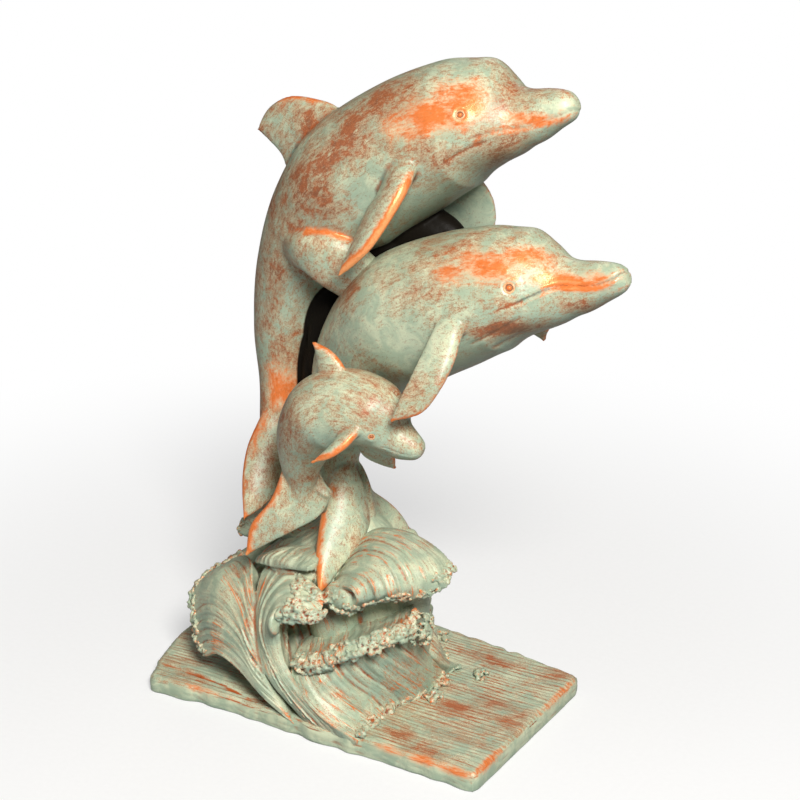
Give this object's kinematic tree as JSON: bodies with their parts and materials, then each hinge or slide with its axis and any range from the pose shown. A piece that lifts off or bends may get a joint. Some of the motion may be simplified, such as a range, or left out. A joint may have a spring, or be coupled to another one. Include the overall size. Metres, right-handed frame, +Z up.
{
  "type": "dolphin figurine",
  "caption": "Cast figurine of leaping dolphins and a calf rising from a breaking wave on a flat base, with an aged copper patina.",
  "frame": {"origin": "centre of the base's flat underside", "axes": "+Z up, +X along the base in the direction the dolphins head, -Y towards the side seen in the picture"},
  "size_m": [0.2905, 0.1515, 0.3919],
  "materials": {
    "patina": "painted cast resin, grey-green patina rubbed back to copper on the edges, semi-gloss"
  },
  "bodies": {
    "root": {"dolphin_figurine": "patina"}
  },
  "joints": []
}
